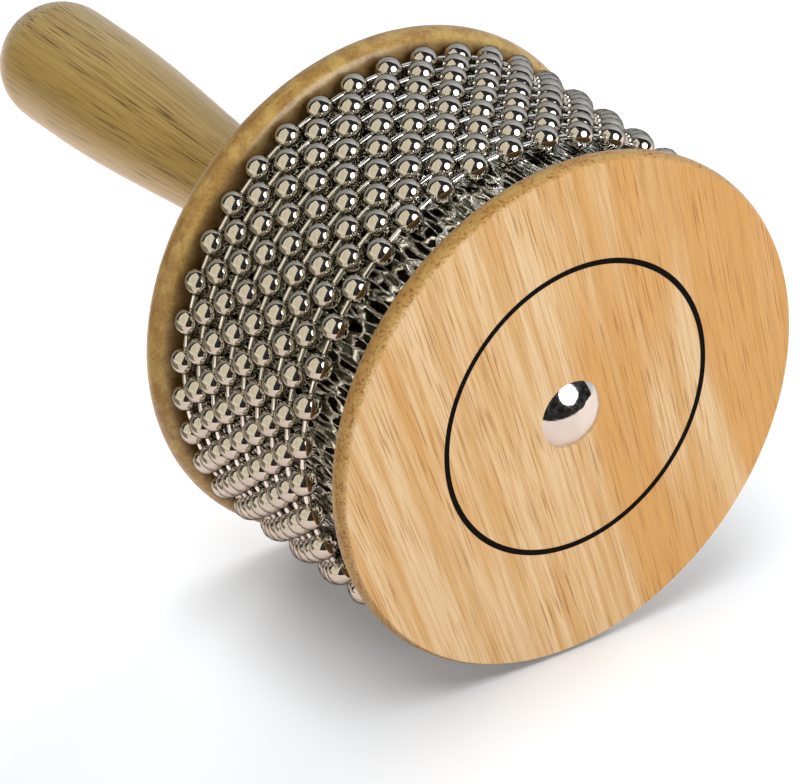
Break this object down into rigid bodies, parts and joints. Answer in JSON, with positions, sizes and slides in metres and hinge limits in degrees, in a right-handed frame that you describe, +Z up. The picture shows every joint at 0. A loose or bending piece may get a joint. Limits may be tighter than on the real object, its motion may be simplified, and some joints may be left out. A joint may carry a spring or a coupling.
{
  "type": "cabasa",
  "caption": "Wooden cabasa: loops of polished metal balls round a textured steel drum between two wooden discs, on a turned wooden handle.",
  "frame": {"origin": "on the ground plane under the middle of the instrument's length, which lies on the rims of its two discs", "axes": "+Y along the drum's axis from the front disc to the handle's rounded end, +Z up, +X to the right when looking along +Y"},
  "size_m": [0.1142, 0.2024, 0.1143],
  "materials": {
    "disc_wood": "satin",
    "handle_wood": "satin",
    "core_wood": "matte",
    "textured_steel": "polished",
    "ball_metal": "polished",
    "link_metal": "polished",
    "bolt_steel": "polished",
    "brass": "satin"
  },
  "bodies": {
    "instrument": {"handle": "handle_wood", "handle_insert": "brass", "rear_disc": "disc_wood", "core": "core_wood", "drum_sheet": "textured_steel", "front_disc": "disc_wood", "tie_bolt": "bolt_steel"},
    "loop_1": {"loop_1_balls": "ball_metal", "loop_1_links": "link_metal"},
    "loop_2": {"loop_2_balls": "ball_metal", "loop_2_links": "link_metal"},
    "loop_3": {"loop_3_balls": "ball_metal", "loop_3_links": "link_metal"},
    "loop_4": {"loop_4_balls": "ball_metal", "loop_4_links": "link_metal"},
    "loop_5": {"loop_5_balls": "ball_metal", "loop_5_links": "link_metal"},
    "loop_6": {"loop_6_balls": "ball_metal", "loop_6_links": "link_metal"},
    "loop_7": {"loop_7_balls": "ball_metal", "loop_7_links": "link_metal"},
    "loop_8": {"loop_8_balls": "ball_metal", "loop_8_links": "link_metal"},
    "loop_9": {"loop_9_balls": "ball_metal", "loop_9_links": "link_metal"}
  },
  "joints": [
    {"name": "loop_9_spin", "type": "hinge", "parent": "instrument", "child": "loop_9", "pos_m": [0, -0.041, 0.05715], "axis": [0, 1, 0], "continuous": true},
    {"name": "loop_1_slide", "type": "slide", "parent": "loop_9", "child": "loop_1", "axis": [0, -1, 0], "range_m": [0, 0.0097]},
    {"name": "loop_2_slide", "type": "slide", "parent": "loop_9", "child": "loop_2", "axis": [0, -1, 0], "range_m": [0, 0.00849]},
    {"name": "loop_3_slide", "type": "slide", "parent": "loop_9", "child": "loop_3", "axis": [0, -1, 0], "range_m": [0, 0.00728]},
    {"name": "loop_4_slide", "type": "slide", "parent": "loop_9", "child": "loop_4", "axis": [0, -1, 0], "range_m": [0, 0.00606]},
    {"name": "loop_5_slide", "type": "slide", "parent": "loop_9", "child": "loop_5", "axis": [0, -1, 0], "range_m": [0, 0.00485]},
    {"name": "loop_6_slide", "type": "slide", "parent": "loop_9", "child": "loop_6", "axis": [0, -1, 0], "range_m": [0, 0.00364]},
    {"name": "loop_7_slide", "type": "slide", "parent": "loop_9", "child": "loop_7", "axis": [0, -1, 0], "range_m": [0, 0.00243]},
    {"name": "loop_8_slide", "type": "slide", "parent": "loop_9", "child": "loop_8", "axis": [0, -1, 0], "range_m": [0, 0.00121]}
  ],
  "couplings": [
    {"joint": "loop_2_slide", "follows": "loop_1_slide", "ratio": 0.875},
    {"joint": "loop_3_slide", "follows": "loop_1_slide", "ratio": 0.75},
    {"joint": "loop_4_slide", "follows": "loop_1_slide", "ratio": 0.625},
    {"joint": "loop_5_slide", "follows": "loop_1_slide", "ratio": 0.5},
    {"joint": "loop_6_slide", "follows": "loop_1_slide", "ratio": 0.375},
    {"joint": "loop_7_slide", "follows": "loop_1_slide", "ratio": 0.25},
    {"joint": "loop_8_slide", "follows": "loop_1_slide", "ratio": 0.125}
  ]
}
